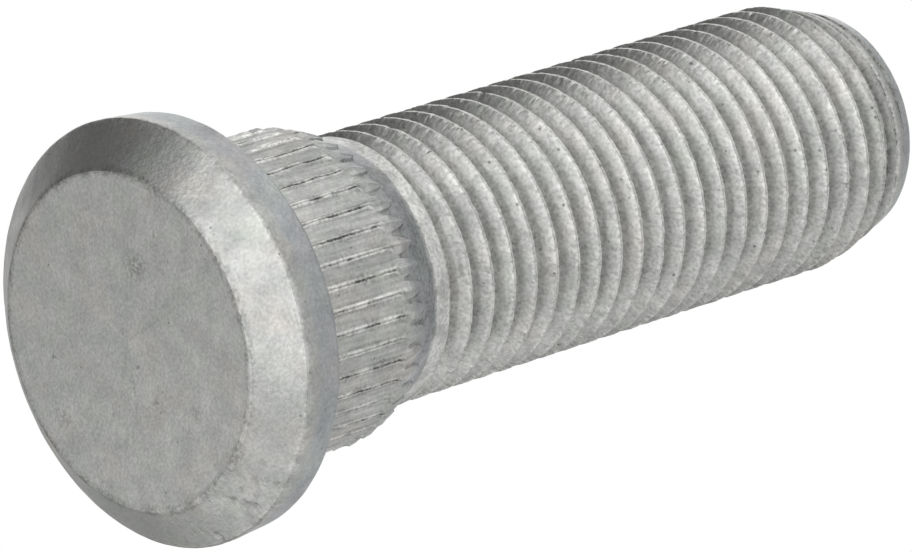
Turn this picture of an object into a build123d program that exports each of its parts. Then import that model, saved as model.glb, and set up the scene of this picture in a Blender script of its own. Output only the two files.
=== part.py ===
# Wheel stud: one forged piece with a chamfered disc head, a serrated collar that is
# pressed into the hub flange, a lead-in cone, a short neck and a rolled right-hand thread.
# It stands on its head: the head's outer face is z = 0 and +Z runs along the axis to the tip.
import math
import os

from build123d import *

os.makedirs("parts", exist_ok=True)

# Head, from the outer face (z = 0) up to the seat that bears on the hub flange
head_d = 21.3
head_thickness = 4.4
face_d = 16.8
head_chamfer_height = 1.8
rim_draft_angle = 5.0
rim_back_chamfer = 0.4

# Collar between the serrations, and the cone that leads it into the hub
collar_d = 15.9
collar_length = 6.9
lead_cone_angle = 21.0

# Serrations: sharp ridges along the collar, each ending in a pointed tongue on the cone
serration_count = 44
ridge_height = 0.15
ridge_flank_angle = 45.0
tongue_back = 0.2
tongue_hold = 0.3
tongue_length = 1.45
tongue_width_share = 0.84
tongue_waist_share = 0.62
tongue_waist_place = 0.55
tongue_tip_width = 0.1
tongue_rise = 0.03
tongue_tip_rise = 0.15
ridge_tip_rise = 0.05
tongue_foot = 0.6

# Neck above the cone and the step down to the thread root
neck_d = 13.64
neck_length = 0.9
neck_step_angle = 60.0

# Thread, with its depth, half crest width and sunk foot as shares of the pitch
overall_length = 49.45
thread_d = 13.85
thread_pitch = 1.5
thread_flank_angle = 30.0
thread_depth_share = 0.6134
crest_share = 1 / 12
lead_sink_share = 1 / 12
lead_start_back = 1.5
lead_start_angle = 311.0
lead_run_in = 1.7
lead_overrun = 0.9
turns_per_stretch = 2

# End of the thread, rolled down to the end face in a long taper
end_taper_length = 3.7
end_face_d = 11.6

# Room that a cutter or a trimmed blank reaches past the surface it works on
cut_over = 0.05
trim_over = 1.5

# Radii and heights that follow from the sizes above
head_r = head_d / 2
face_r = face_d / 2
collar_r = collar_d / 2
serration_r = collar_r + ridge_height
neck_r = neck_d / 2
thread_r = thread_d / 2
end_face_r = end_face_d / 2
thread_depth = thread_depth_share * thread_pitch
root_r = thread_r - thread_depth

seat_z = head_thickness
rim_height = head_thickness - head_chamfer_height
rim_back_r = head_r - rim_height * math.tan(math.radians(rim_draft_angle))
cone_slope = math.tan(math.radians(lead_cone_angle))
collar_end_z = seat_z + collar_length
cone_end_z = collar_end_z + (collar_r - neck_r) / cone_slope
neck_end_z = cone_end_z + neck_length
root_start_z = neck_end_z + (neck_r - root_r) / math.tan(math.radians(neck_step_angle))

# Thread ridge: a trapezoid whose foot is sunk a little into the core
crest_half = crest_share * thread_pitch
lead_sink = lead_sink_share * thread_pitch
flank_slope = math.tan(math.radians(thread_flank_angle))
foot_half = crest_half + (thread_depth + lead_sink) * flank_slope
sunk_r = root_r - thread_depth - lead_sink

lead_start_z = neck_end_z - lead_start_back
full_start_z = lead_start_z + lead_run_in
full_height = overall_length + lead_overrun - full_start_z
stretch_count = max(1, round(full_height / (turns_per_stretch * thread_pitch)))
stretch_height = full_height / stretch_count


def lead_helix(start_z, height, start_r, end_r):
    """One stretch of the thread's lead, plain or conical, turned to meet the stretch below it."""
    cone_angle = math.degrees(math.atan2(end_r - start_r, height))
    slant_pitch = thread_pitch / math.cos(math.radians(cone_angle))
    turn = lead_start_angle + 360 * (start_z - lead_start_z) / thread_pitch
    stretch = Helix(
        slant_pitch,
        height,
        start_r,
        center=(0, 0, start_z),
        cone_angle=cone_angle,
        mode=Mode.PRIVATE,
    )
    return stretch.rotate(Axis.Z, turn)


# The lead rises out of the neck and runs on past the end face, which trims it.
# Its full turns are laid in short stretches, so that each flank is a short face.
with BuildLine() as thread_lead:
    add(lead_helix(lead_start_z, lead_run_in, sunk_r, root_r))
    for stretch in range(stretch_count):
        stretch_z = full_start_z + stretch * stretch_height
        add(lead_helix(stretch_z, stretch_height, root_r, root_r))

lead_path = thread_lead.wire()
lead_start = lead_path @ 0
ridge_plane = Plane(
    origin=lead_start,
    x_dir=(lead_start.X, lead_start.Y, 0),
    z_dir=lead_path % 0,
)

with BuildPart() as thread_ridge:
    with BuildSketch(ridge_plane):
        with BuildLine():
            Polyline(
                (-lead_sink, -foot_half),
                (thread_depth, -crest_half),
                (thread_depth, crest_half),
                (-lead_sink, foot_half),
                close=True,
            )
        make_face()
    sweep(path=lead_path, is_frenet=True)

# Tongue: a pointed plate that leaves the collar a little proud and falls towards the cone,
# made where its side outline and its plan outline meet
tooth_pitch = math.pi * collar_d / serration_count
tongue_start_z = collar_end_z - tongue_back
tongue_bend_z = collar_end_z + tongue_hold
tongue_end_z = collar_end_z + tongue_length
tongue_run = tongue_end_z - tongue_start_z
tongue_waist_z = tongue_start_z + tongue_waist_place * tongue_run
tongue_foot_r = collar_r - tongue_length * cone_slope - tongue_foot
tongue_end_r = collar_r - tongue_length * cone_slope + tongue_tip_rise
tongue_top_r = collar_r + tongue_rise
tongue_half = tongue_width_share * tooth_pitch / 2
tongue_waist = tongue_waist_share * tooth_pitch / 2
tongue_tip = tongue_tip_width / 2

with BuildPart() as tongue:
    with BuildSketch(Plane.XZ):
        with BuildLine():
            Polyline(
                (tongue_foot_r, tongue_start_z),
                (tongue_top_r, tongue_start_z),
                (tongue_top_r, tongue_bend_z),
                (tongue_end_r, tongue_end_z),
                (tongue_foot_r, tongue_end_z),
                close=True,
            )
        make_face()
    extrude(amount=tooth_pitch, both=True)
    with BuildSketch(Plane.YZ.offset(tongue_foot_r)):
        with BuildLine():
            Polyline(
                (-tongue_half, tongue_start_z),
                (tongue_half, tongue_start_z),
                (tongue_waist, tongue_waist_z),
                (tongue_tip, tongue_end_z),
                (-tongue_tip, tongue_end_z),
                (-tongue_waist, tongue_waist_z),
                close=True,
            )
        make_face()
    extrude(amount=tongue_top_r - tongue_foot_r, mode=Mode.INTERSECT)

# Serration: a roof-shaped ridge along the collar that runs out on its tongue
ridge_half = (ridge_height + cut_over) / math.tan(math.radians(ridge_flank_angle))
ridge_foot_z = seat_z - tongue_foot

with BuildPart() as serration:
    with BuildSketch(Plane.XZ):
        with BuildLine():
            Polyline(
                (tongue_foot_r, ridge_foot_z),
                (serration_r, ridge_foot_z),
                (serration_r, tongue_bend_z),
                (tongue_end_r + ridge_tip_rise, tongue_end_z),
                (tongue_foot_r, tongue_end_z),
                close=True,
            )
        make_face()
    extrude(amount=ridge_half, both=True, taper=ridge_flank_angle)
    add(tongue.part)

with BuildPart() as wheel_stud:
    # Turned outline of the head, collar, cone, neck and thread core
    with BuildSketch(Plane.XZ):
        with BuildLine():
            Polyline(
                (0, 0),
                (face_r, 0),
                (head_r, head_chamfer_height),
                (rim_back_r, seat_z),
                (collar_r, seat_z),
                (collar_r, collar_end_z),
                (neck_r, cone_end_z),
                (neck_r, neck_end_z),
                (root_r, root_start_z),
                (root_r, overall_length + trim_over),
                (0, overall_length + trim_over),
                close=True,
            )
        make_face()
    revolve(axis=Axis.Z)

    # Broken back edge of the head's rim
    seat_rings = wheel_stud.edges().filter_by(GeomType.CIRCLE).filter_by_position(Axis.Z, seat_z, seat_z)
    chamfer(seat_rings.sort_by(SortBy.RADIUS)[-1], rim_back_chamfer)

    with PolarLocations(0, serration_count, start_angle=180 / serration_count):
        add(serration.part)

    add(thread_ridge.part)

    # End face and the taper that brings the last turns of the thread down to it
    end_z = overall_length
    trim_r = thread_r + trim_over
    with BuildSketch(Plane.XZ):
        with BuildLine():
            Polyline(
                (0, end_z),
                (end_face_r, end_z),
                (thread_r + cut_over, end_z - end_taper_length),
                (trim_r, end_z - end_taper_length),
                (trim_r, end_z + 2 * trim_over),
                (0, end_z + 2 * trim_over),
                close=True,
            )
        make_face()
    revolve(axis=Axis.Z, mode=Mode.SUBTRACT)

wheel_stud.part.label = "wheel_stud"
export_step(wheel_stud.part, "parts/wheel_stud.step")
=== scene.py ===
"""Wheel stud of zinc-coated steel, seen from below its head.

The stud is one shell, made by one Geometry Nodes tree. The tree spins a section of the stud,
raises the serrations on the collar, rolls the thread up the shank and ages the skin.
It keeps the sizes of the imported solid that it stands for.
"""

import math

import bpy
from mathutils import Matrix, Vector


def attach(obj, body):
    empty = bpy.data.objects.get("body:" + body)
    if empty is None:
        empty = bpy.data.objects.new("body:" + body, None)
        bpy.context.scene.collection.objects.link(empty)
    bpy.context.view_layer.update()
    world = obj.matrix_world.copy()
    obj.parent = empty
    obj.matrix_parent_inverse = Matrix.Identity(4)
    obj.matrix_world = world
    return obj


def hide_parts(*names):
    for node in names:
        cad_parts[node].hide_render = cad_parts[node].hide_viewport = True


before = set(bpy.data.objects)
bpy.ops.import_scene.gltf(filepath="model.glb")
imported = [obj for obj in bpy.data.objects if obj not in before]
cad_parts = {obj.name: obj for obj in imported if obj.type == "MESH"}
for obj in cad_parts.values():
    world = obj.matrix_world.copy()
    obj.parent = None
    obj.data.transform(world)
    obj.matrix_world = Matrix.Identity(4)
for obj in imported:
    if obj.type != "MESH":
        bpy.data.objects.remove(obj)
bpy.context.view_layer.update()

MM = 0.001
scene = bpy.context.scene

# Kinds of node that are used often. A range takes a value, the two ends that it runs between,
# and what it gives at the one end and at the other.
MATH = "ShaderNodeMath"
VECTOR = "ShaderNodeVectorMath"
RANGE = "ShaderNodeMapRange"
MIX = "ShaderNodeMix"
NOISE = "ShaderNodeTexNoise"
CELLS = "ShaderNodeTexVoronoi"
SPLIT = "ShaderNodeSeparateXYZ"
JOIN = "ShaderNodeCombineXYZ"
STORE = "GeometryNodeStoreNamedAttribute"
STORED = "GeometryNodeInputNamedAttribute"

# Head, in millimetres as the solid has it
head_r = 10.65
face_r = 8.4
head_thickness = 4.4
head_chamfer_height = 1.8
rim_draft = math.radians(5.0)
rim_back_r = head_r - (head_thickness - head_chamfer_height) * math.tan(rim_draft)
rim_back_chamfer = 0.4

# What the shell adds to the head: rounded edges, and how far from an edge its darkening reaches; at
# the collar's seat that darkening is painted shade
edge_round = 0.12
rim_round = 0.14
face_edge_dark_width = 0.4
seat_shade_width = 0.3
chamfer_edge_share = 0.14

# Collar, its lead-in cone and its serrations. A share or a half is a part of the way from
# one ridge to the next.
collar_r = 7.95
collar_end = 11.3
cone_slope = math.tan(math.radians(21.0))
serration_count = 44
serration_r = 8.1
seam_r = 7.98
lip_share = 0.085
foot_share = 0.19
band_share = 0.33
flare_start = 10.7

# Tongues at the ends of the serrations. Their sides bulge out and then run to a blunt point.
tongue_start = 11.1
tongue_bend = 11.6
tongue_end = 12.75
tongue_start_half = 0.42
tongue_tip_half = 0.044
tongue_edge = 0.035
tongue_bulge = 2.2
tongue_bluntness = 0.8
tongue_lip_part = 0.4
tongue_top_r = 7.98
tongue_tip_rise = 0.15
ridge_tip_rise = 0.05
narrowest_foot = 0.02
widest_edge = 0.485
notch_growth = 5
behind_tongue = 0.04
tip_lip_share = 0.02
tip_foot_share = 0.05
tip_edge_share = 0.1

# Neck and thread, with the thread's depth, crest and foot as shares of its pitch
neck_r = 6.82
neck_length = 0.9
neck_row_heights = (0.06, 0.2)
neck_step_slope = math.tan(math.radians(60.0))
cone_end = collar_end + (collar_r - neck_r) / cone_slope
neck_end = cone_end + neck_length
overall_length = 49.45
thread_r = 6.925
thread_pitch = 1.5
depth_share = 0.6134
thread_depth = depth_share * thread_pitch
flank_slope = math.tan(math.radians(30.0))
root_r = thread_r - thread_depth
root_start = neck_end + (neck_r - root_r) / neck_step_slope
crest_half = 1 / 12
foot_half = crest_half + depth_share * flank_slope
ridge_back = 1.5
ridge_start = neck_end - ridge_back
ridge_start_turn = 311.0 / 360.0
run_in_height = 1.7
ridge_sink_share = 1 / 12
ridge_sunk = thread_depth + ridge_sink_share * thread_pitch

# End of the thread, rolled down to the end face
end_face_r = 5.8
end_taper_length = 3.7
taper_start = overall_length - end_taper_length
taper_over = 0.05
taper_start_r = thread_r + taper_over
taper_fall = taper_start_r - end_face_r
end_band = taper_start + (taper_start_r - root_r) / taper_fall * end_taper_length
end_slope = taper_fall / (overall_length - taper_start)

# What the shell adds to the end: a row past the thread, a rounded edge and its rubbed width
band_step = 0.08
end_round = 0.08
end_rub_width = 0.5

# Columns of the shell around the axis, eight to a serration
columns_per_tooth = 8
column_count = serration_count * columns_per_tooth

# Rows of the shell in one turn of the thread, as shares of the pitch from one root to the next
turn_rows = (0.0, 0.07, 0.21, 0.33, 0.42, 0.5, 0.58, 0.80)
# The shell's turns begin on the +X side, in the root below the first full crest there
crest_at_zero = ridge_start + (1 - ridge_start_turn) * thread_pitch + thread_pitch
lead_start = crest_at_zero - thread_pitch / 2
lead_turns = int((overall_length - lead_start) / thread_pitch)
lead_end = lead_start + lead_turns * thread_pitch

# Rows of the shell along the collar and the cone
collar_rows = 15
spread_rows = 2
tongue_rows = 11
cone_rows = 4

# Finish of a row of the shell: how far it is rubbed bright, how dark it is made, which at the
# collar's seat is painted shade, and how bluish it is
clean = (0.0, 0.0, 0.0)
darkened = (0.0, 0.42, 0.0)
rubbed = (0.2, 0.15, 0.0)
bluish = (0.0, 0.0, 1.0)

# How coarse the skin is, how far places are made lighter, by rubbing and on the crests and roots by
# painted light, and how far others are made darker, by grime and at the seat, the cone and the
# tongues' edges by painted shade
head_coarse = 0.15
collar_coarse = 0.2
wedge_coarse = 0.5
thread_coarse = 1.0
flank_coarse = 0.1
neck_rubbed = 0.45
crest_wear_and_highlight = 0.42
root_painted_light = 0.6
lip_rubbed = 1.3
seat_shade = 0.4
cone_shade = 0.4
neck_foot_grimy = 0.25
seam_darkness = 1.7
foot_darkness = 0.5
notch_middle_shade = 0.3
root_grimy = 0.08
taper_grimy = 0.7
knock_grimy = 0.5

# Sizes of the skin's patterns in millimetres. The grain of a real coat is too fine to show
# in the picture, so both grains are drawn coarser than it.
mottle_width = 1.7
cast_width = 2.5
patch_width = 0.9
grain_width = 0.17
grain_rise = 0.03
streak_width = 0.2
speck_spacing = 0.65
ridge_wear_width = 1.1
lump_width = 1.8
coarse_grain_width = 0.32
pit_spacing = 1.0
knock_width = 0.65


def linear(hex_colour):
    """A hex colour as screens show it, turned to the linear colour that shaders take."""
    shown = [int(hex_colour[i : i + 2], 16) / 255 for i in (1, 3, 5)]
    straight = [c / 12.92 if c <= 0.04045 else ((c + 0.055) / 1.055) ** 2.4 for c in shown]
    return (*straight, 1.0)


def add(tree, kind, feeds=(), **settings):
    """Adds a node, sets it, feeds its sockets by name or in order, and returns its first output."""
    node = tree.nodes.new(kind)
    for name, value in settings.items():
        setattr(node, name, value)
    for key, value in feeds.items() if isinstance(feeds, dict) else enumerate(feeds):
        open_sockets = [s for s in node.inputs if s.enabled]
        named = [s for s in open_sockets if s.name == key]
        socket = named[0] if named else open_sockets[key]
        if isinstance(value, bpy.types.NodeSocket):
            tree.links.new(value, socket)
        else:
            socket.default_value = value
    return next((s for s in node.outputs if s.enabled), node)


def blend(first, last, share):
    """The value that lies a share of the way from the first to the last."""
    return first + (last - first) * share


# Section of the stud, from the middle of the head's face to the middle of the end face
rows = []


def ring(radius, height, **own):
    """One row of the shell. A row that says nothing of its teeth has one radius all round."""
    plain = {
        "radius": radius,
        "height": height,
        "centre": radius,
        "lip": radius,
        "foot": radius,
        "lip_share": 1 / columns_per_tooth,
        "foot_share": 2 / columns_per_tooth,
        "edge_share": 3 / columns_per_tooth,
        "rise": 0.0,
        "lead": 0.0,
        "seam": 0.0,
        "notch": 0.0,
        "rough": head_coarse,
        "wear": 0.0,
        "dirt": 0.0,
        "cool": 0.0,
    }
    rows.append({**plain, **own})


def soft_outline(corners):
    """Rings along straight stretches with rounded corners.

    A corner is its radius, its height, how far it is rounded, how far apart the rings on the way
    to it are, and its finish, which at the collar's seat holds painted shade.
    """
    last = None
    for i, (r, z, soft, spacing, finish_and_light) in enumerate(corners):
        here = Vector((r, z))
        bend = [here]
        if soft:
            before = (Vector(corners[i - 1][:2]) - here).normalized() * soft
            after = (Vector(corners[i + 1][:2]) - here).normalized() * soft
            bend = [here + before * (1 - t) ** 2 + after * t**2 for t in (0, 0.5, 1)]
        now = Vector(finish_and_light)
        if last is not None:
            steps = max(1, round((bend[0] - last).length / spacing))
            for k in range(1, steps):
                wear, dirt, cool = last_finish_and_light.lerp(now, k / steps)
                ring(*last.lerp(bend[0], k / steps), wear=wear, dirt=dirt, cool=cool)
        for point in bend:
            ring(*point, wear=now[0], dirt=now[1], cool=now[2])
        last, last_finish_and_light = bend[-1], now


face_edge = Vector((face_r, 0.0))
rim_tip = Vector((head_r, head_chamfer_height))
rim_back = Vector((rim_back_r, head_thickness))
rim_end = rim_back + (rim_tip - rim_back).normalized() * rim_back_chamfer
soft_outline(
    [
        (0.0, 0.0, 0.0, 1.0, clean),
        (face_r - face_edge_dark_width, 0.0, 0.0, 1.0, clean),
        (*face_edge, edge_round, 0.4, darkened),
        (*face_edge.lerp(rim_tip, chamfer_edge_share), 0.0, 0.3, clean),
        (*rim_tip.lerp(face_edge, chamfer_edge_share), 0.0, 0.26, clean),
        (*rim_tip, rim_round, 0.3, rubbed),
        (*rim_tip.lerp(rim_end, 0.2), 0.0, 0.4, clean),
        (*rim_tip.lerp(rim_end, 0.5), 0.0, 0.5, bluish),
        (*rim_end, edge_round, 0.5, bluish),
        (rim_back_r - rim_back_chamfer, head_thickness, edge_round, 0.4, bluish),
        # Painted shade where the rim's back meets the collar
        (collar_r + seat_shade_width, head_thickness, 0.0, 0.8, darkened),
    ]
)

# Collar: each serration is a ridge with two lips and a seam between them
for k in range(collar_rows):
    ring(
        collar_r,
        blend(head_thickness, flare_start, k / collar_rows),
        centre=seam_r,
        lip=serration_r,
        lip_share=lip_share,
        foot_share=foot_share,
        edge_share=band_share,
        seam=1.0,
        rough=collar_coarse,
        # Painted shade in the collar's first row, at the seat
        dirt=seat_shade if k == 0 else 0.0,
    )

# The ridges close their seams and spread into tongues
for k in range(spread_rows):
    share = k / spread_rows
    ring(
        collar_r,
        blend(flare_start, tongue_start, share),
        centre=blend(seam_r, serration_r, share),
        lip=blend(serration_r, tongue_top_r, share),
        lip_share=blend(lip_share, foot_share, share),
        foot_share=blend(foot_share, tongue_start_half - tongue_edge, share),
        edge_share=blend(band_share, tongue_start_half + tongue_edge, share),
        seam=1.0 - share,
        rough=collar_coarse,
    )

# Tongues: pointed plates that lap on the cone, with notches between them
tip_r = collar_r - (tongue_end - collar_end) * cone_slope + tongue_tip_rise
for k in range(tongue_rows + 1):
    share = k / tongue_rows
    z = blend(tongue_start, tongue_end, share)
    fall = max(0.0, z - tongue_bend) / (tongue_end - tongue_bend)
    top_r = blend(tongue_top_r, tip_r, fall)
    width = (1 - share**tongue_bulge) ** tongue_bluntness
    half = blend(tongue_tip_half, tongue_start_half, width)
    ring(
        collar_r - max(0.0, z - collar_end) * cone_slope,
        z,
        centre=blend(serration_r, tip_r + ridge_tip_rise, fall),
        lip=top_r,
        foot=top_r,
        lip_share=min(foot_share, tongue_lip_part * half),
        foot_share=max(narrowest_foot, half - tongue_edge),
        edge_share=min(widest_edge, half + tongue_edge),
        notch=min(1.0, share * notch_growth),
        rough=collar_coarse,
        cool=share,
    )

# Cone behind the tongues, made darker by painted shade
for k in range(cone_rows):
    share = k / cone_rows
    z = blend(tongue_end + behind_tongue, cone_end, share)
    ring(
        collar_r - (z - collar_end) * cone_slope,
        z,
        lip_share=blend(tip_lip_share, 1 / columns_per_tooth, share),
        foot_share=blend(tip_foot_share, 2 / columns_per_tooth, share),
        edge_share=blend(tip_edge_share, 3 / columns_per_tooth, share),
        # Painted shade on the cone
        dirt=cone_shade,
        cool=1.0,
    )

# Neck: a bright ring below the thread, with grime where it meets the cone
ring(neck_r, cone_end, wear=neck_rubbed, dirt=neck_foot_grimy)
for z in (*(cone_end + step for step in neck_row_heights), lead_start):
    ring(neck_r, z, wear=neck_rubbed)

# Thread: a wedge of rows that opens over the first turn, whole turns, and a wedge that closes
# over the last
for share in turn_rows[1:]:
    ring(neck_r, lead_start, rise=share, lead=1.0, rough=wedge_coarse)
for lap in range(lead_turns - 1):
    for share in turn_rows:
        z = lead_start + (lap + share) * thread_pitch
        ring(root_r, z, rise=1.0, lead=1.0, rough=thread_coarse)
for share in turn_rows:
    z = lead_start + (lead_turns - 1 + share) * thread_pitch
    ring(root_r, z, rise=1.0 - share, lead=1.0, rough=wedge_coarse)

# End of the stud: a plain band past the thread, then the end face
for z in (lead_end, lead_end + band_step):
    ring(root_r, z, lead=1.0)
band_z = lead_end + 2 * band_step
soft_outline(
    [
        (end_face_r + (overall_length - band_z) * end_slope, band_z, 0.0, 0.7, bluish),
        (end_face_r, overall_length, end_round, 0.7, rubbed),
        (end_face_r - end_rub_width, overall_length, 0.0, 0.7, clean),
        (0.0, overall_length, 0.0, 1.1, clean),
    ]
)

section = bpy.data.meshes.new("stud_section")
section.from_pydata([(0.0, 0.0, line["height"] * MM) for line in rows], [], [])
lengths = ("radius", "height", "centre", "lip", "foot")
for name in rows[0]:
    values = section.attributes.new(name, "FLOAT", "POINT")
    unit = MM if name in lengths else 1.0
    for i, line in enumerate(rows):
        values.data[i].value = line[name] * unit

# Zinc coating on forged and rolled steel, tumbled with its fellows: a dull mottled grey with
# a fine grain, rubbed bright on edges and crests, dark with grime in roots and pits and darker
# in seams, with painted highlights on the crests, painted light in the roots, and painted shade
# at the collar's seat, on the cone and along the tongues
zinc = bpy.data.materials.new("zinc_coated_steel")
zinc.use_nodes = True
skin = zinc.node_tree
skin.nodes.clear()
place = add(skin, "ShaderNodeTexCoord").node.outputs["Object"]
height_here = add(skin, SPLIT, (place,)).node.outputs["Z"]
finish_and_light = add(skin, "ShaderNodeAttribute", attribute_name="finish_and_light").node.outputs["Vector"]
# First value: wear and painted highlights; second: grime and painted shade; third: bluish tint
wear, dirt, cool = add(skin, SPLIT, (finish_and_light,)).node.outputs
coarse = add(skin, "ShaderNodeAttribute", attribute_name="rough").node.outputs["Fac"]

mottle_look = {"Scale": 1 / (mottle_width * MM), "Detail": 6.0, "Roughness": 0.68}
mottle = add(skin, NOISE, {"Vector": place, **mottle_look})
grain = add(skin, NOISE, {"Vector": place, "Scale": 1 / (grain_width * MM), "Detail": 2.0})
patch = add(skin, NOISE, {"Vector": place, "Scale": 1 / (patch_width * MM), "Detail": 2.0})
colour = add(skin, "ShaderNodeValToRGB", {"Fac": mottle})
greys = colour.node.color_ramp.elements
greys[0].position, greys[0].color = 0.30, linear("#9fa19f")
greys[1].position, greys[1].color = 0.72, linear("#bbbbb7")

# Faint green, pink and blue casts of the coating, some millimetres wide
cast_noise = add(skin, NOISE, {"Vector": place, "Scale": 1 / (cast_width * MM), "Detail": 2.0})
cast = add(skin, "ShaderNodeValToRGB", {"Fac": cast_noise})
casts = cast.node.color_ramp.elements
casts[0].position, casts[0].color = 0.32, linear("#f6f9f5")
casts[1].position, casts[1].color = 0.66, linear("#fbf7f6")
casts.new(0.5).color = linear("#f8f8fa")
colour = add(skin, MIX, (1.0, colour, cast), data_type="RGBA", blend_type="MULTIPLY")

# Light and dark of the grain, and streaks along the collar where the dies drew the metal
streaks_begin = head_thickness + 0.2
streaks_fade = collar_end + 0.1
streaks_end = collar_end + 1.1
above_seat = add(skin, RANGE, (height_here, head_thickness * MM, streaks_begin * MM))
below_cone = add(skin, RANGE, (height_here, streaks_end * MM, streaks_fade * MM))
on_collar = add(skin, MATH, (above_seat, below_cone), operation="MULTIPLY")
streak_stretch = 0.08
drawn = add(skin, "ShaderNodeMapping", {"Vector": place, "Scale": (1.0, 1.0, streak_stretch)})
streak = add(skin, NOISE, {"Vector": drawn, "Scale": 1 / (streak_width * MM), "Detail": 2.0})
streak_tone = add(skin, RANGE, (streak, 0.32, 0.68, 0.90, 1.2))
streak_tone = add(skin, MIX, (on_collar, 1.0, streak_tone))
grain_tone = add(skin, RANGE, (grain, 0.3, 0.7, 0.87, 1.1))
tone = add(skin, MATH, (grain_tone, streak_tone), operation="MULTIPLY")

# The thread is a little darker, from its first root to the band at its end
thread_shade = 0.87
shade_fades = lead_end - 1.0
above_neck = add(skin, RANGE, (height_here, neck_end * MM, root_start * MM))
below_band = add(skin, RANGE, (height_here, end_band * MM, shade_fades * MM))
on_thread = add(skin, MATH, (above_neck, below_band), operation="MULTIPLY")
thread_tone = add(skin, RANGE, (on_thread, 0.0, 1.0, 1.0, thread_shade))
tone = add(skin, MATH, (tone, thread_tone), operation="MULTIPLY")
colour = add(skin, VECTOR, (colour, tone), operation="SCALE")

# Smudges on the head's face: place and reach in millimetres, and how dark each is
face_marks = (
    (-3.3, -2.2, 0.95, 0.60),
    (-4.4, -4.2, 0.32, 0.55),
    (-3.9, -3.95, 0.32, 0.55),
    (-0.5, 0.05, 0.35, 0.40),
    (1.3, -0.2, 0.28, 0.60),
    (3.2, -0.7, 0.25, 0.60),
    (-0.4, 5.5, 0.18, 0.90),
    (4.3, -3.2, 0.50, 0.45),
    (2.5, 6.2, 0.70, 0.45),
)
smudge = 0.0
for x, y, reach, darkness in face_marks:
    away = add(skin, VECTOR, (place, (x * MM, y * MM, 0.0)), operation="DISTANCE")
    mark = add(skin, RANGE, (away, reach * MM, 0.0, 0.0, darkness))
    smudge = add(skin, MATH, (smudge, mark), operation="MAXIMUM")
smudge_grain = add(skin, RANGE, (grain, 0.62, 0.42))
smudge = add(skin, MATH, (smudge, smudge_grain), operation="MULTIPLY")
colour = add(skin, MIX, (smudge, colour, linear("#5f605d")), data_type="RGBA")

# Rubbed places and painted light, then grime and painted shade, all broken up by the grain
# and by wider patches. On the thread the patches break up the lighter places less.
lighter_grain = add(skin, RANGE, (grain, 0.3, 0.6, 0.3, 1.15))
patch_floor = add(skin, RANGE, (on_thread, 0.0, 1.0, 0.3, 0.7))
lighter_patch = add(skin, RANGE, (patch, 0.40, 0.56, patch_floor, 1.15))
worn_and_lit_here = add(skin, MATH, (wear, lighter_grain), operation="MULTIPLY")
worn_and_lit_here = add(skin, MATH, (worn_and_lit_here, lighter_patch), operation="MULTIPLY", use_clamp=True)
colour = add(skin, MIX, (worn_and_lit_here, colour, linear("#e6e6e3")), data_type="RGBA")
darker_grain = add(skin, RANGE, (grain, 0.62, 0.36, 0.4, 1.0))
darker_patch = add(skin, RANGE, (patch, 0.6, 0.42, 0.3, 1.2))
grime_and_shade_here = add(skin, MATH, (dirt, darker_grain), operation="MULTIPLY")
grime_and_shade_here = add(skin, MATH, (grime_and_shade_here, darker_patch), operation="MULTIPLY", use_clamp=True)
colour = add(skin, MIX, (grime_and_shade_here, colour, linear("#4a4b48")), data_type="RGBA")

# Faint blue of the rim, the cone and the band at the end
faint_blue = linear("#f2f4fa")
colour = add(skin, MIX, (cool, colour, faint_blue), data_type="RGBA", blend_type="MULTIPLY")

# Dark specks in some of the cells of a pattern, small on the head and larger on the thread
speck_cells = add(skin, CELLS, {"Vector": place, "Scale": 1 / (speck_spacing * MM)}).node.outputs
speck_reach = add(skin, RANGE, (coarse, 0.2, 0.4, 0.12, 0.17))
speck_size = add(skin, RANGE, (speck_cells["Color"], 0.38, 0.72, 0.0, speck_reach))
speck_core_share = 0.4
speck_core = add(skin, MATH, (speck_size, speck_core_share), operation="MULTIPLY")
speck_depth = add(skin, RANGE, (coarse, 0.2, 0.4, 0.6, 0.75))
speck = add(skin, RANGE, (speck_cells["Distance"], speck_size, speck_core, 0.0, speck_depth))
colour = add(skin, MIX, (speck, colour, linear("#50514e")), data_type="RGBA")

# Dullness that follows the mottle, and a slight rise of the grain, least on the thread
dull = add(skin, RANGE, (mottle, 0.3, 0.7, 0.50, 0.40))
grain_strength = add(skin, RANGE, (on_thread, 0.0, 1.0, 0.5, 0.15))
grain_look = {"Strength": grain_strength, "Distance": grain_rise * MM, "Height": grain}
bumpy = add(skin, "ShaderNodeBump", grain_look)
metal_look = {"Base Color": colour, "Metallic": 1.0, "Roughness": dull, "Normal": bumpy}
metal = add(skin, "ShaderNodeBsdfPrincipled", metal_look)
add(skin, "ShaderNodeOutputMaterial", {"Surface": metal})

# Tree that makes the stud from its section
rule = bpy.data.node_groups.new("spun_stud", "GeometryNodeTree")
rule.interface.new_socket("Geometry", in_out="OUTPUT", socket_type="NodeSocketGeometry")
rule.interface.new_socket("Section", in_out="INPUT", socket_type="NodeSocketGeometry")
stud_sizes = {
    "Columns": column_count,
    "Serrations": serration_count,
    "Rows": len(rows),
    "Collar Radius": collar_r * MM,
    "Pitch": thread_pitch * MM,
    "Crest Height": crest_at_zero * MM,
    "Root Radius": root_r * MM,
    "Thread Depth": thread_depth * MM,
    "Crest Half": crest_half,
    "Foot Half": foot_half,
    "Neck Radius": neck_r * MM,
    "Neck End": neck_end * MM,
    "Root Start": root_start * MM,
    "Ridge Start": ridge_start * MM,
    "Ridge End": (ridge_start + run_in_height) * MM,
    "Ridge Sunk": ridge_sunk * MM,
    "Taper Start": taper_start * MM,
    "Taper Radius": taper_start_r * MM,
    "End Band": end_band * MM,
    "End Radius": end_face_r * MM,
    "Length": overall_length * MM,
    "Crest Fold": 0.12 * MM,
    "Lump Depth": 0.05 * MM,
    "Grain Depth": 0.10 * MM,
    "Knock Depth": 0.09 * MM,
    "Pit Depth": 0.1 * MM,
}
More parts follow.
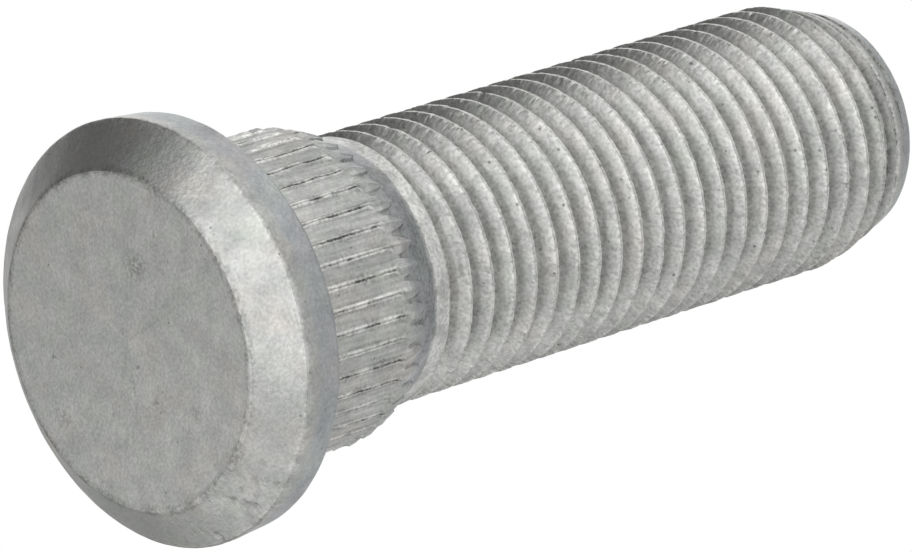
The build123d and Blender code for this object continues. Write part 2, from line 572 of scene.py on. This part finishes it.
for name, value in stud_sizes.items():
    kind = "NodeSocketInt" if isinstance(value, int) else "NodeSocketFloat"
    rule.interface.new_socket(name, in_out="INPUT", socket_type=kind)
rule.interface.new_socket("Metal", in_out="INPUT", socket_type="NodeSocketMaterial")
given = add(rule, "NodeGroupInput").node.outputs

# Row and column of each point of the shell, and what the section says of that row
across = add(rule, MATH, (given["Columns"], 1.0), operation="ADD")
grid_size = {"Size X": 1.0, "Size Y": 1.0, "Vertices X": given["Rows"], "Vertices Y": across}
grid = add(rule, "GeometryNodeMeshGrid", grid_size)
index = add(rule, "GeometryNodeInputIndex")
row = add(rule, MATH, (index, across), operation="DIVIDE")
row = add(rule, MATH, (row,), operation="FLOOR")
column = add(rule, MATH, (index, across), operation="MODULO")
turn = add(rule, MATH, (column, given["Columns"]), operation="DIVIDE")
told = {}
for name in rows[0]:
    said = add(rule, STORED, {"Name": name}, data_type="FLOAT")
    picked = {"Geometry": given["Section"], "Value": said, "Index": row}
    told[name] = add(rule, "GeometryNodeSampleIndex", picked, data_type="FLOAT")
seam, notch, lead = told["seam"], told["notch"], told["lead"]

# Place of the column in its tooth: 0 on the ridge's line, one half on the middle of a band
tooth = add(rule, MATH, (turn, given["Serrations"]), operation="MULTIPLY")
side = add(rule, MATH, (tooth,), operation="FRACT")
side = add(rule, MATH, (side, 0.5), operation="SUBTRACT")
off_line = add(rule, MATH, (side,), operation="ABSOLUTE")
half_column = 0.5 / columns_per_tooth
past_centre, past_lip, past_foot, past_edge = (
    add(rule, MATH, (off_line, halves * half_column), operation="GREATER_THAN")
    for halves in (1, 3, 5, 7)
)
on_centre = add(rule, MATH, (1.0, past_centre), operation="SUBTRACT")
on_lip = add(rule, MATH, (past_centre, past_lip), operation="SUBTRACT")
on_foot = add(rule, MATH, (past_lip, past_foot), operation="SUBTRACT")
on_edge = add(rule, MATH, (past_foot, past_edge), operation="SUBTRACT")
new_side = add(rule, MATH, (past_edge, 0.5), operation="MULTIPLY")
for on_column, name in ((on_lip, "lip_share"), (on_foot, "foot_share"), (on_edge, "edge_share")):
    new_side = add(rule, MATH, (on_column, told[name], new_side), operation="MULTIPLY_ADD")
which_side = add(rule, MATH, (side,), operation="SIGN")
new_side = add(rule, MATH, (new_side, which_side), operation="MULTIPLY")
ridge_line = add(rule, MATH, (tooth, side), operation="SUBTRACT")
tooth_place = add(rule, MATH, (ridge_line, new_side), operation="ADD")
angle = add(rule, MATH, (tooth_place, given["Serrations"]), operation="DIVIDE")
angle = add(rule, MATH, (angle, 2 * math.pi), operation="MULTIPLY")
ray_x = add(rule, MATH, (angle,), operation="COSINE")
ray_y = add(rule, MATH, (angle,), operation="SINE")
ray = add(rule, JOIN, (ray_x, ray_y))

# Height on the shell, which climbs with the thread
climb = add(rule, MATH, (told["rise"], turn), operation="MULTIPLY")
height = add(rule, MATH, (climb, given["Pitch"], told["height"]), operation="MULTIPLY_ADD")
up = add(rule, JOIN, {"Z": height})

# Ridges of the collar, uneven along their length and rubbed down on one side
collar_place = add(rule, VECTOR, (ray, given["Collar Radius"]), operation="SCALE")
collar_place = add(rule, VECTOR, (collar_place, up), operation="ADD")
uneven_look = {"Scale": 1 / (ridge_wear_width * MM), "Detail": 2.0}
uneven = add(rule, NOISE, {"Vector": collar_place, **uneven_look})
rubbed_toward = (0.87, -0.5, 0.0)
rubbed_side = add(rule, VECTOR, (ray, rubbed_toward), operation="DOT_PRODUCT")
rubbed_side = add(rule, RANGE, (rubbed_side, 0.1, 0.9, 0.0, 0.5))
ridge_loss = add(rule, RANGE, (uneven, 0.55, 0.33, 0.0, 0.7))
ridge_loss = add(rule, MATH, (ridge_loss, rubbed_side), operation="ADD", use_clamp=True)
on_tooth = add(rule, MATH, (seam, notch), operation="ADD")
tooth_loss = add(rule, MATH, (ridge_loss, on_tooth), operation="MULTIPLY")
lip_now = add(rule, MIX, (tooth_loss, told["lip"], told["foot"]))
seam_gone = add(rule, RANGE, (uneven, 0.42, 0.62, 0.0, 0.8))
centre_gone = add(rule, MATH, (seam_gone, seam), operation="MULTIPLY")
centre_gone = add(rule, MATH, (ridge_loss, notch, centre_gone), operation="MULTIPLY_ADD")
centre_now = add(rule, MIX, (centre_gone, told["centre"], lip_now))
foot_loss_share = 0.45
foot_gone = add(rule, MATH, (tooth_loss, foot_loss_share), operation="MULTIPLY")
foot_now = add(rule, MIX, (foot_gone, told["foot"], told["radius"]))
plain_radius = add(rule, MIX, (past_centre, centre_now, lip_now))
plain_radius = add(rule, MIX, (past_lip, plain_radius, foot_now))
plain_radius = add(rule, MIX, (past_foot, plain_radius, told["radius"]))

# Thread: a ridge that climbs one pitch a turn, rises out of the neck and is rolled down by
# the end's taper
above = add(rule, MATH, (height, given["Crest Height"]), operation="SUBTRACT")
phase = add(rule, MATH, (above, given["Pitch"]), operation="DIVIDE")
phase = add(rule, MATH, (phase, turn), operation="SUBTRACT")
phase = add(rule, MATH, (phase, 0.5), operation="ADD")
phase = add(rule, MATH, (phase,), operation="FRACT")
past_crest = add(rule, MATH, (phase, 0.5), operation="SUBTRACT")
from_crest = add(rule, MATH, (past_crest,), operation="ABSOLUTE")
crest_height = add(rule, MATH, (past_crest, given["Pitch"]), operation="MULTIPLY")
crest_height = add(rule, MATH, (height, crest_height), operation="SUBTRACT")
flank = (from_crest, given["Foot Half"], given["Crest Half"])
ridge = add(rule, RANGE, flank, clamp=False)
ridge = add(rule, MATH, (ridge, 1.0), operation="MINIMUM")
run_in = (crest_height, given["Ridge End"], given["Ridge Start"], 0.0, given["Ridge Sunk"])
sink = add(rule, RANGE, run_in, clamp=False)
sink = add(rule, MATH, (sink, 0.0), operation="MAXIMUM")
on_root = (ridge, given["Thread Depth"], given["Root Radius"])
ridge_radius = add(rule, MATH, on_root, operation="MULTIPLY_ADD")
ridge_radius = add(rule, MATH, (ridge_radius, sink), operation="SUBTRACT")
neck_step = (height, given["Neck End"], given["Root Start"])
core_radius = add(rule, RANGE, (*neck_step, given["Neck Radius"], given["Root Radius"]))
shank_radius = add(rule, MATH, (ridge_radius, core_radius), operation="MAXIMUM")
taper = (height, given["Taper Start"], given["Length"])
taper = (*taper, given["Taper Radius"], given["End Radius"])
taper_radius = add(rule, RANGE, taper, clamp=False)
rolled_off = add(rule, MATH, (shank_radius, taper_radius), operation="SUBTRACT")
shank_radius = add(rule, MATH, (shank_radius, taper_radius), operation="MINIMUM")

# The taper folds the crests that it rolls down, so that each has two lips
fold_full = 0.25 * MM
fold_half_width = 0.02
fold = add(rule, RANGE, (rolled_off, 0.0, fold_full, 0.0, given["Crest Fold"]))
on_crest_line = add(rule, MATH, (from_crest, fold_half_width), operation="LESS_THAN")
before_band = add(rule, MATH, (height, given["End Band"]), operation="LESS_THAN")
for limit in (on_crest_line, before_band):
    fold = add(rule, MATH, (fold, limit), operation="MULTIPLY")
shank_radius = add(rule, MATH, (shank_radius, fold), operation="SUBTRACT")
radius = add(rule, MIX, (lead, plain_radius, shank_radius))

# Wear and painted light of the thread: crests rubbed and painted lighter as a painted highlight,
# a rubbed neck, and roots painted lighter up to the taper as painted light against their shade
on_neck = add(rule, RANGE, (*neck_step, 1.0, 0.0))
# Crests painted lighter: partly a rubbed coat, partly a painted highlight
thread_wear = add(rule, RANGE, (ridge, 0.5, 1.0, 0.0, crest_wear_and_highlight))
neck_wear = add(rule, MATH, (on_neck, neck_rubbed), operation="MULTIPLY")
away_from_end = add(rule, RANGE, (height, given["End Band"], given["Taper Start"]))
# Roots painted lighter: painted light against the shade that falls in them
painted_root_light = add(rule, RANGE, (ridge, 0.65, 0.1, 0.0, root_painted_light))
painted_root_light = add(rule, MATH, (painted_root_light, away_from_end), operation="MULTIPLY")
for bright in (neck_wear, painted_root_light):
    thread_wear = add(rule, MATH, (thread_wear, bright), operation="MAXIMUM")

# Grime of the thread: in the roots, more of it on the taper, and in the folds
on_taper = add(rule, RANGE, (height, given["Taper Start"], given["End Band"]))
taper_grime = add(rule, MATH, (on_taper, taper_grimy, root_grimy), operation="MULTIPLY_ADD")
off_neck = add(rule, MATH, (1.0, on_neck), operation="SUBTRACT")
thread_dirt = add(rule, RANGE, (ridge, 0.4, 0.0))
for limit in (taper_grime, off_neck, before_band):
    thread_dirt = add(rule, MATH, (thread_dirt, limit), operation="MULTIPLY")
fold_dirt = add(rule, MATH, (fold, given["Crest Fold"]), operation="DIVIDE")
thread_dirt = add(rule, MATH, (thread_dirt, fold_dirt), operation="ADD")

# Wear and darkening of the serrations: rubbed lips, darker seams and places beside worn lips,
# and painted shade along the tongues' edges and in the notches between them
ridge_left = add(rule, MATH, (1.0, ridge_loss), operation="SUBTRACT")
seam_left = add(rule, MATH, (1.0, seam_gone), operation="SUBTRACT")
lip_wear, seam_dirt, foot_dirt = on_lip, on_centre, on_foot
for limit in (seam, ridge_left):
    lip_wear = add(rule, MATH, (lip_wear, limit), operation="MULTIPLY")
for limit in (seam, seam_left, seam_darkness):
    seam_dirt = add(rule, MATH, (seam_dirt, limit), operation="MULTIPLY")
for limit in (seam, ridge_loss):
    foot_dirt = add(rule, MATH, (foot_dirt, limit), operation="MULTIPLY")
tooth_dirt = add(rule, MATH, (foot_dirt, foot_darkness, seam_dirt), operation="MULTIPLY_ADD")
# Painted shade along the tongues' edges and in the notches between them
edge_dirt = add(rule, MATH, (past_edge, notch_middle_shade, on_edge), operation="MULTIPLY_ADD")
notch_shade_breaks = add(rule, RANGE, (uneven, 0.38, 0.6, 0.15, 1.1))
edge_dirt = add(rule, MATH, (edge_dirt, notch_shade_breaks), operation="MULTIPLY")
tooth_dirt = add(rule, MATH, (edge_dirt, notch, tooth_dirt), operation="MULTIPLY_ADD")

# Finish and painted light of each point, and how coarse its skin is: on the thread, the crests most
# of all
on_band = add(rule, MATH, (1.0, before_band), operation="SUBTRACT")
wear_here = add(rule, MATH, (thread_wear, lead, told["wear"]), operation="MULTIPLY_ADD")
wear_here = add(rule, MATH, (lip_wear, lip_rubbed, wear_here), operation="MULTIPLY_ADD")
dirt_here = add(rule, MATH, (thread_dirt, lead, told["dirt"]), operation="MULTIPLY_ADD")
dirt_here = add(rule, MATH, (dirt_here, tooth_dirt), operation="ADD")
cool_here = add(rule, MATH, (on_band, lead, told["cool"]), operation="MULTIPLY_ADD")
finish_and_light_here = add(rule, JOIN, (wear_here, dirt_here, cool_here))
thread_rough = add(rule, RANGE, (ridge, 0.6, 1.0, flank_coarse, 1.0))
thread_rough = add(rule, MATH, (told["rough"], thread_rough), operation="MULTIPLY")
rough_here = add(rule, MIX, (lead, told["rough"], thread_rough))

# The shell, closed at its seam and at the middle of both ends, with its faces outwards
shell = grid
shell_values = (("finish_and_light", finish_and_light_here, "FLOAT_VECTOR"), ("rough", rough_here, "FLOAT"))
for name, value, sort in shell_values:
    kept = {"Geometry": shell, "Name": name, "Value": value}
    shell = add(rule, STORE, kept, data_type=sort, domain="POINT")
on_ray = add(rule, VECTOR, (ray, radius), operation="SCALE")
shell_place = add(rule, VECTOR, (on_ray, up), operation="ADD")
spun = add(rule, "GeometryNodeSetPosition", {"Geometry": shell, "Position": shell_place})
same_place = 0.001 * MM
closed = add(rule, "GeometryNodeMergeByDistance", {"Geometry": spun, "Distance": same_place})
outward = add(rule, "GeometryNodeFlipFaces", {"Mesh": closed})

# Unevenness of the forged, rolled and coated skin, inwards only: wide lumps, grain, scattered
# pits, and knocks in the scuffed places
spot = add(rule, "GeometryNodeInputPosition")
lump = add(rule, NOISE, {"Vector": spot, "Scale": 1 / (lump_width * MM), "Detail": 1.0})
coarse_look = {"Scale": 1 / (coarse_grain_width * MM), "Detail": 1.0}
coarse_grain = add(rule, NOISE, {"Vector": spot, **coarse_look})
pit_cells = add(rule, CELLS, {"Vector": spot, "Scale": 1 / (pit_spacing * MM)}).node.outputs
pit_size = add(rule, RANGE, (pit_cells["Color"], 0.45, 0.9, 0.0, 0.25))
pit = add(rule, RANGE, (pit_cells["Distance"], pit_size, 0.0))

# Scuffed places on the head's chamfer and its outer edge: place and reach in millimetres
scuffs = ((8.8, -4.3, 1.1, 2.6), (10.2, -0.2, 1.4, 1.2))
scuff_core = 0.4
scuffed = 0.0
for x, y, z, reach in scuffs:
    away = add(rule, VECTOR, (spot, (x * MM, y * MM, z * MM)), operation="DISTANCE")
    near = add(rule, RANGE, (away, reach * MM, scuff_core * reach * MM))
    scuffed = add(rule, MATH, (scuffed, near), operation="MAXIMUM")
knock_noise = add(rule, NOISE, {"Vector": spot, "Scale": 1 / (knock_width * MM), "Detail": 2.0})
knock = add(rule, RANGE, (knock_noise, 0.53, 0.7))
knock = add(rule, MATH, (knock, scuffed), operation="MULTIPLY")

# Grime in the pits and knocks, and how deep all of it goes
kept_finish_and_light = add(rule, STORED, {"Name": "finish_and_light"}, data_type="FLOAT_VECTOR")
kept_rough = add(rule, STORED, {"Name": "rough"}, data_type="FLOAT")
pit_grime = add(rule, MATH, (pit, kept_rough), operation="MULTIPLY")
pit_grime = add(rule, MATH, (knock, knock_grimy, pit_grime), operation="MULTIPLY_ADD")
pit_grime = add(rule, JOIN, {"Y": pit_grime})
aged_finish_and_light = add(rule, VECTOR, (kept_finish_and_light, pit_grime), operation="ADD")
kept = {"Geometry": outward, "Name": "finish_and_light", "Value": aged_finish_and_light}
aged = add(rule, STORE, kept, data_type="FLOAT_VECTOR", domain="POINT")
depth = add(rule, MATH, (lump, given["Lump Depth"]), operation="MULTIPLY")
fine_depth = add(rule, MATH, (coarse_grain, given["Grain Depth"]), operation="MULTIPLY")
fine_depth = add(rule, MATH, (pit, given["Pit Depth"], fine_depth), operation="MULTIPLY_ADD")
depth = add(rule, MATH, (fine_depth, kept_rough, depth), operation="MULTIPLY_ADD")
depth = add(rule, MATH, (knock, given["Knock Depth"], depth), operation="MULTIPLY_ADD")
inward = add(rule, MATH, (depth, -1.0), operation="MULTIPLY")
outward_way = add(rule, "GeometryNodeInputNormal")
skin_offset = add(rule, VECTOR, (outward_way, inward), operation="SCALE")
pitted = add(rule, "GeometryNodeSetPosition", {"Geometry": aged, "Offset": skin_offset})

# Smooth shading, apart from sharp edges, and the material
sharpest_smooth = math.radians(40)
edge_angle = add(rule, "GeometryNodeInputMeshEdgeAngle")
soft_edge = add(rule, MATH, (edge_angle, sharpest_smooth), operation="LESS_THAN")
shading = {"Geometry": pitted, "Shade Smooth": soft_edge}
smooth = add(rule, "GeometryNodeSetShadeSmooth", shading, domain="EDGE")
whole = add(rule, "GeometryNodeRealizeInstances", {"Geometry": smooth})
finished = add(rule, "GeometryNodeSetMaterial", {"Geometry": whole, "Material": given["Metal"]})
add(rule, "NodeGroupOutput", {"Geometry": finished})

maker = bpy.data.objects.new("stud_maker", section)
scene.collection.objects.link(maker)
spin = maker.modifiers.new("spun_stud", "NODES")
spin.node_group = rule
for item in rule.interface.items_tree:
    if item.in_out == "INPUT" and item.name in stud_sizes:
        spin[item.identifier] = stud_sizes[item.name]
    elif item.in_out == "INPUT" and item.name == "Metal":
        spin[item.identifier] = zinc
made = maker.evaluated_get(bpy.context.evaluated_depsgraph_get())
stud_mesh = bpy.data.meshes.new_from_object(made)
bpy.data.objects.remove(maker)
stud_mesh.name = "threaded_stud"
stud = bpy.data.objects.new("threaded_stud", stud_mesh)
scene.collection.objects.link(stud)
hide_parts("wheel_stud")
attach(stud, "root")

# Camera, below the head and rolled so that the tip points up and to the right
camera_place = Vector((1.714, -365.491, -314.313)) * MM
camera_aim = Vector((1.714, 0.0, 21.699)) * MM
camera_roll = math.radians(-72.497)
camera_data = bpy.data.cameras.new("camera")
camera_data.sensor_width = 36.0
camera_data.lens = 397.63
camera_data.clip_start, camera_data.clip_end = 0.05, 20.0
camera = bpy.data.objects.new("camera", camera_data)
scene.collection.objects.link(camera)
ahead = (camera_aim - camera_place).normalized()
level = ahead.cross(Vector((0, 0, 1))).normalized()
upright = level.cross(ahead)
camera_up = upright * math.cos(camera_roll) + level * math.sin(camera_roll)
camera_right = ahead.cross(camera_up)
turned = Matrix((camera_right, camera_up, -ahead)).transposed()
camera.matrix_world = Matrix.Translation(camera_place) @ turned.to_4x4()
bpy.context.scene.camera = camera

# White studio, with sides that are less bright for the metal to reflect. Each is a direction
# (right, up, ahead of the camera), where it begins, where it is full, and what it takes.
scene.view_settings.view_transform = "Standard"
dim_sides = (
    ((-0.86, 0.56, 0.20), 0.67, 0.93, 0.92),
    ((0.0, -1.0, 0.0), 0.20, 0.80, 0.14),
    ((0.78, 0.22, 0.58), 0.70, 0.97, 0.34),
    ((-0.45, -0.66, 0.60), 0.55, 0.95, 0.55),
)
world = bpy.data.worlds.new("studio")
scene.world = world
world.use_nodes = True
air = world.node_tree
air.nodes.clear()
path = add(air, "ShaderNodeLightPath").node.outputs
look = add(air, "ShaderNodeTexCoord").node.outputs["Generated"]
brightness = 1.0
for (right, upward, forward), begins, full, takes in dim_sides:
    toward = (camera_right * right + camera_up * upward + ahead * forward).normalized()
    facing = add(air, VECTOR, (look, toward), operation="DOT_PRODUCT")
    dimmed = (facing, begins, full, 0.0, takes)
    taken = add(air, RANGE, dimmed, interpolation_type="SMOOTHSTEP")
    brightness = add(air, MATH, (brightness, taken), operation="SUBTRACT")
dim = add(air, "ShaderNodeBackground", {"Color": linear("#ffffff"), "Strength": brightness})
white = add(air, "ShaderNodeBackground", {"Color": linear("#ffffff"), "Strength": 1.0})
sky = add(air, "ShaderNodeMixShader", (path["Is Camera Ray"], dim, white))
add(air, "ShaderNodeOutputWorld", {"Surface": sky})


def soft_box(name, toward, aim_height, distance, width, height, watts):
    """An area lamp that looks at a height on the stud's axis.

    It stands on a side that is given as right, up, ahead of the camera.
    """
    right, upward, forward = toward
    lamp = bpy.data.lights.new(name, "AREA")
    lamp.shape = "RECTANGLE"
    lamp.size, lamp.size_y = width, height
    lamp.energy = watts
    lit = bpy.data.objects.new(name, lamp)
    scene.collection.objects.link(lit)
    lit.visible_camera = False
    aim = Vector((0, 0, aim_height * MM))
    back_axis = (camera_right * right + camera_up * upward + ahead * forward).normalized()
    side_axis = camera_up.cross(back_axis).normalized()
    lamp_axes = Matrix((side_axis, back_axis.cross(side_axis), back_axis)).transposed()
    lit.matrix_world = Matrix.Translation(aim + back_axis * distance) @ lamp_axes.to_4x4()


soft_box(
    "front_box",
    toward=(-0.52, 0.02, -0.82),
    aim_height=overall_length / 2,
    distance=0.5,
    width=0.45,
    height=0.80,
    watts=1.4,
)
soft_box(
    "top_box",
    toward=(0.60, 0.80, 0.10),
    aim_height=overall_length / 2,
    distance=0.5,
    width=0.40,
    height=0.40,
    watts=0.22,
)
soft_box(
    "back_box",
    toward=(-0.05, 0.40, 0.92),
    aim_height=overall_length / 2,
    distance=0.5,
    width=0.30,
    height=0.30,
    watts=0.16,
)
soft_box(
    "head_box",
    toward=(-0.56, -0.82, 0.0),
    aim_height=head_thickness / 2,
    distance=0.09,
    width=0.09,
    height=0.09,
    watts=0.019,
)

# Pale painted floor under the head. Far out it fades into the white of the studio, and from
# below, where the camera is, it is clear.
floor_reach = 0.3
floor_drop = 0.2 * MM
floor_fade_start = 0.06
floor_fade_end = 0.28
floor_signs = ((-1, -1), (1, -1), (1, 1), (-1, 1))
floor_corners = [(x * floor_reach, y * floor_reach, -floor_drop) for x, y in floor_signs]
floor_mesh = bpy.data.meshes.new("floor")
floor_mesh.from_pydata(floor_corners, [], [(0, 1, 2, 3)])
floor = bpy.data.objects.new("floor", floor_mesh)
scene.collection.objects.link(floor)
floor.visible_diffuse = False
floor.visible_glossy = False
floor.visible_transmission = False
floor.visible_shadow = False
paint = bpy.data.materials.new("matt_floor_paint")
paint.use_nodes = True
coat = paint.node_tree
coat.nodes.clear()
floor_place = add(coat, "ShaderNodeTexCoord").node.outputs["Object"]
from_stud = add(coat, VECTOR, (floor_place,), operation="LENGTH")
fade = (from_stud, floor_fade_start, floor_fade_end)
faded = add(coat, RANGE, fade, interpolation_type="SMOOTHSTEP")
under_side = add(coat, "ShaderNodeNewGeometry").node.outputs["Backfacing"]
clear_share = add(coat, MATH, (faded, under_side), operation="MAXIMUM")
matt_look = {"Base Color": linear("#f1f1ee"), "Roughness": 0.9}
matt = add(coat, "ShaderNodeBsdfPrincipled", matt_look)
clear = add(coat, "ShaderNodeBsdfTransparent")
seen = add(coat, "ShaderNodeMixShader", (clear_share, matt, clear))
add(coat, "ShaderNodeOutputMaterial", {"Surface": seen})
floor_mesh.materials.append(paint)
